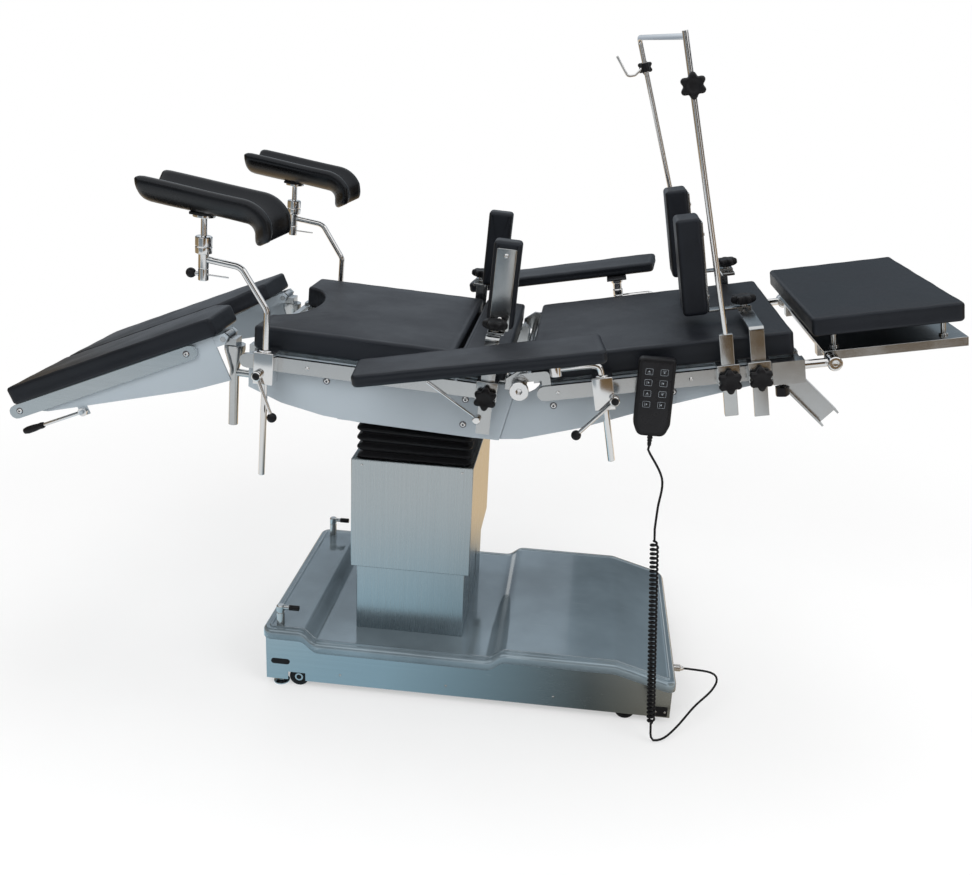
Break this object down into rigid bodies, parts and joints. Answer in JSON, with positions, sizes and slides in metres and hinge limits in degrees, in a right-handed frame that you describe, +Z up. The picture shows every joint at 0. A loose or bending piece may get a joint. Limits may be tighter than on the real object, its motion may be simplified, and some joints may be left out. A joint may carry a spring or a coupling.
{
  "type": "operating table",
  "caption": "Electric operating table on a telescoping column, with tilting padded sections, leg crutches, arm boards, side supports, a screen frame and a corded hand control.",
  "frame": {"origin": "on the floor, under the middle of the outer box, the free cord left out", "axes": "+X towards the head end, +Z up; the hand control hangs on the -Y side"},
  "size_m": [1.9404, 0.924, 1.4533],
  "materials": {
    "polished_steel": "polished",
    "chrome": "mirror chrome",
    "brushed_steel": "brushed",
    "pale_paint": "satin paint",
    "base_cover_steel_blue": "glossy",
    "charcoal_leather": "satin, fine grain",
    "black_plastic": "satin",
    "black_rubber": "matt",
    "painted_iron": "matt paint"
  },
  "bodies": {
    "base": {"base_chassis": "painted_iron", "base_skirt": "brushed_steel", "base_cover": "base_cover_steel_blue", "power_unit": "painted_iron", "lower_column_cover": "brushed_steel", "cord_plug": "chrome", "cord_tail": "black_plastic", "cord_curl": "black_plastic"},
    "castor_axle_left": {"castor_axle_left": "black_rubber"},
    "castor_axle_right": {"castor_axle_right": "black_rubber"},
    "lift": {"upper_column_cover": "brushed_steel", "lift_mast": "polished_steel", "bellows": "black_rubber"},
    "cross": {"tilt_cross": "polished_steel"},
    "seat": {"seat_frame": "polished_steel", "seat_shell": "pale_paint", "seat_pad": "charcoal_leather"},
    "kidney": {"kidney_bridge": "polished_steel", "kidney_pad": "charcoal_leather"},
    "crank": {"kidney_crank": "chrome"},
    "back": {"back_frame": "polished_steel", "back_shell": "pale_paint", "back_pad": "charcoal_leather"},
    "head_rods": {"head_slide": "chrome"},
    "head": {"head_tray": "polished_steel", "head_pad": "charcoal_leather"},
    "screen": {"screen_frame": "chrome"},
    "screen_hook": {"screen_hook": "black_plastic"},
    "hand_control": {"hand_control": "black_plastic", "cord_lead": "black_plastic"},
    "floor_lock_front": {"floor_lock_front": "polished_steel"},
    "leg_post_front": {"leg_post_front": "polished_steel"},
    "leg_front": {"leg_frame_front": "pale_paint", "leg_pad_front": "charcoal_leather"},
    "leg_lever_front": {"leg_lever_front": "chrome"},
    "arm_clamp_front": {"arm_clamp_front": "chrome"},
    "arm_front": {"arm_post_front": "chrome", "arm_pad_front": "charcoal_leather"},
    "crutch_clamp_front": {"crutch_clamp_front": "chrome"},
    "crutch_pole_front": {"crutch_pole_front": "chrome"},
    "crutch_pad_front": {"crutch_pad_front": "charcoal_leather"},
    "hip_bracket_front": {"hip_bracket_front": "polished_steel"},
    "hip_pad_front": {"hip_pad_front": "charcoal_leather"},
    "shoulder_bracket_front": {"shoulder_bracket_front": "polished_steel"},
    "shoulder_pad_front": {"shoulder_pad_front": "charcoal_leather"},
    "floor_lock_rear": {"floor_lock_rear": "polished_steel"},
    "leg_post_rear": {"leg_post_rear": "polished_steel"},
    "leg_rear": {"leg_frame_rear": "pale_paint", "leg_pad_rear": "charcoal_leather"},
    "leg_lever_rear": {"leg_lever_rear": "chrome"},
    "arm_clamp_rear": {"arm_clamp_rear": "chrome"},
    "arm_rear": {"arm_post_rear": "chrome", "arm_pad_rear": "charcoal_leather"},
    "crutch_clamp_rear": {"crutch_clamp_rear": "chrome"},
    "crutch_pole_rear": {"crutch_pole_rear": "chrome"},
    "crutch_pad_rear": {"crutch_pad_rear": "charcoal_leather"},
    "hip_bracket_rear": {"hip_bracket_rear": "polished_steel"},
    "hip_pad_rear": {"hip_pad_rear": "charcoal_leather"},
    "shoulder_bracket_rear": {"shoulder_bracket_rear": "polished_steel"},
    "shoulder_pad_rear": {"shoulder_pad_rear": "charcoal_leather"}
  },
  "joints": [
    {"name": "castor_spin_left", "type": "hinge", "parent": "base", "child": "castor_axle_left", "pos_m": [-0.34126, 0, 0.022], "axis": [0, 1, 0], "continuous": true},
    {"name": "castor_spin_right", "type": "hinge", "parent": "base", "child": "castor_axle_right", "pos_m": [0.39674, 0, 0.022], "axis": [0, 1, 0], "continuous": true},
    {"name": "column_lift", "type": "slide", "parent": "base", "child": "lift", "axis": [0, 0, 1], "range_m": [-0.11, 0.13], "deforming": ["cord_curl"]},
    {"name": "trendelenburg", "type": "hinge", "parent": "lift", "child": "cross", "pos_m": [-0.10326, 0, 0.69], "axis": [0, 1, 0], "range_deg": [-20, 16], "deforming": ["bellows"]},
    {"name": "lateral_tilt", "type": "hinge", "parent": "cross", "child": "seat", "pos_m": [-0.10326, 0, 0.69], "axis": [0.9983, 0, -0.0576], "range_deg": [-15, 15], "deforming": ["bellows"]},
    {"name": "kidney_lift", "type": "slide", "parent": "seat", "child": "kidney", "axis": [0.0576, 0, 0.9983], "range_m": [0, 0.026]},
    {"name": "kidney_crank", "type": "hinge", "parent": "seat", "child": "crank", "pos_m": [0.12474, 0, 0.758], "axis": [0, 1, 0], "range_deg": [0, 360]},
    {"name": "back_hinge", "type": "hinge", "parent": "seat", "child": "back", "pos_m": [0.128, 0, 0.77985], "axis": [0, -1, 0], "range_deg": [-29, 55]},
    {"name": "head_slide", "type": "slide", "parent": "back", "child": "head_rods", "axis": [0.9826, 0, 0.1857], "range_m": [0, 0.03]},
    {"name": "head_hinge", "type": "hinge", "parent": "head_rods", "child": "head", "pos_m": [0.7201, 0, 0.86032], "axis": [0, -1, 0], "range_deg": [-55, 20]},
    {"name": "floor_lock_front", "type": "hinge", "parent": "base", "child": "floor_lock_front", "pos_m": [-0.38526, -0.228, 0.1], "axis": [0, 0, 1], "range_deg": [-90, 90]},
    {"name": "leg_abduct_front", "type": "hinge", "parent": "seat", "child": "leg_post_front", "pos_m": [-0.48025, -0.2, 0.79288], "axis": [0.0576, 0, 0.9983], "range_deg": [0, 68]},
    {"name": "leg_pitch_front", "type": "hinge", "parent": "leg_post_front", "child": "leg_front", "pos_m": [-0.4953, -0.2, 0.80297], "axis": [0, 1, 0], "range_deg": [-50, 32]},
    {"name": "leg_lever_front", "type": "hinge", "parent": "leg_front", "child": "leg_lever_front", "pos_m": [-0.80768, -0.2358, 0.62162], "axis": [0, -1, 0], "range_deg": [0, 25], "stiffness_Nm_per_rad": 0.6, "springref_deg": -28.65},
    {"name": "arm_clamp_slide_front", "type": "slide", "parent": "back", "child": "arm_clamp_front", "axis": [0.9826, 0, 0.1857], "range_m": [-0.05, 0.015]},
    {"name": "arm_swing_front", "type": "hinge", "parent": "arm_clamp_front", "child": "arm_front", "pos_m": [0.28687, -0.2935, 0.78863], "axis": [-0.1857, 0, 0.9826], "range_deg": [0, 100]},
    {"name": "crutch_clamp_slide_front", "type": "slide", "parent": "seat", "child": "crutch_clamp_front", "axis": [0.9983, 0, -0.0576], "range_m": [-0.015, 0.15]},
    {"name": "crutch_height_front", "type": "slide", "parent": "crutch_clamp_front", "child": "crutch_pole_front", "axis": [0.0576, 0, 0.9983], "range_m": [-0.065, 0.1]},
    {"name": "crutch_swivel_front", "type": "hinge", "parent": "crutch_pole_front", "child": "crutch_pad_front", "pos_m": [-0.49843, -0.2935, 1.06839], "axis": [0.0576, 0, 0.9983], "range_deg": [-45, 60]},
    {"name": "hip_bracket_slide_front", "type": "slide", "parent": "seat", "child": "hip_bracket_front", "axis": [0.9983, 0, -0.0576], "range_m": [-0.15, 0.008]},
    {"name": "hip_pad_slide_front", "type": "slide", "parent": "hip_bracket_front", "child": "hip_pad_front", "axis": [0, -1, 0], "range_m": [-0.027, 0.017]},
    {"name": "shoulder_bracket_slide_front", "type": "slide", "parent": "back", "child": "shoulder_bracket_front", "axis": [0.9826, 0, 0.1857], "range_m": [-0.009, 0.001]},
    {"name": "shoulder_pad_slide_front", "type": "slide", "parent": "shoulder_bracket_front", "child": "shoulder_pad_front", "axis": [0, -1, 0], "range_m": [-0.027, 0.027]},
    {"name": "floor_lock_rear", "type": "hinge", "parent": "base", "child": "floor_lock_rear", "pos_m": [-0.38526, 0.228, 0.1], "axis": [0, 0, 1], "range_deg": [-90, 90]},
    {"name": "leg_abduct_rear", "type": "hinge", "parent": "seat", "child": "leg_post_rear", "pos_m": [-0.48025, 0.2, 0.79288], "axis": [-0.0576, 0, -0.9983], "range_deg": [0, 68]},
    {"name": "leg_pitch_rear", "type": "hinge", "parent": "leg_post_rear", "child": "leg_rear", "pos_m": [-0.4953, 0.2, 0.80297], "axis": [0, 1, 0], "range_deg": [-50, 32]},
    {"name": "leg_lever_rear", "type": "hinge", "parent": "leg_rear", "child": "leg_lever_rear", "pos_m": [-0.80768, 0.2358, 0.62162], "axis": [0, -1, 0], "range_deg": [0, 25], "stiffness_Nm_per_rad": 0.6, "springref_deg": -28.65},
    {"name": "arm_clamp_slide_rear", "type": "slide", "parent": "back", "child": "arm_clamp_rear", "axis": [0.9826, 0, 0.1857], "range_m": [-0.15, 0.005]},
    {"name": "arm_swing_rear", "type": "hinge", "parent": "arm_clamp_rear", "child": "arm_rear", "pos_m": [0.41756, 0.2935, 0.81333], "axis": [0.1857, 0, -0.9826], "range_deg": [0, 80]},
    {"name": "crutch_clamp_slide_rear", "type": "slide", "parent": "seat", "child": "crutch_clamp_rear", "axis": [0.9983, 0, -0.0576], "range_m": [-0.015, 0.15]},
    {"name": "crutch_height_rear", "type": "slide", "parent": "crutch_clamp_rear", "child": "crutch_pole_rear", "axis": [0.0576, 0, 0.9983], "range_m": [-0.065, 0.1]},
    {"name": "crutch_swivel_rear", "type": "hinge", "parent": "crutch_pole_rear", "child": "crutch_pad_rear", "pos_m": [-0.49843, 0.2935, 1.06839], "axis": [-0.0576, 0, -0.9983], "range_deg": [-45, 60]},
    {"name": "hip_bracket_slide_rear", "type": "slide", "parent": "seat", "child": "hip_bracket_rear", "axis": [0.9983, 0, -0.0576], "range_m": [-0.11, 0.06]},
    {"name": "hip_pad_slide_rear", "type": "slide", "parent": "hip_bracket_rear", "child": "hip_pad_rear", "axis": [0, 1, 0], "range_m": [-0.027, 0.017]},
    {"name": "shoulder_bracket_slide_rear", "type": "slide", "parent": "back", "child": "shoulder_bracket_rear", "axis": [0.9826, 0, 0.1857], "range_m": [-0.009, 0.001]},
    {"name": "shoulder_pad_slide_rear", "type": "slide", "parent": "shoulder_bracket_rear", "child": "shoulder_pad_rear", "axis": [0, 1, 0], "range_m": [-0.027, 0.027]},
    {"name": "screen_slide", "type": "slide", "parent": "back", "child": "screen", "axis": [0.9826, 0, 0.1857], "range_m": [-0.02, 0.009]},
    {"name": "screen_hook", "type": "hinge", "parent": "screen", "child": "screen_hook", "pos_m": [0.33988, 0.2793, 1.38383], "axis": [-0.2952, 0, 0.9554], "range_deg": [-100, 100]},
    {"name": "hand_control_swing", "type": "hinge", "parent": "back", "child": "hand_control", "pos_m": [0.38808, -0.268, 0.80776], "axis": [0, 1, 0], "range_deg": [-20, 0], "deforming": ["cord_lead"]}
  ],
  "couplings": [
    {"joint": "kidney_crank", "follows": "kidney_lift", "rad_per_m": 241.66}
  ]
}
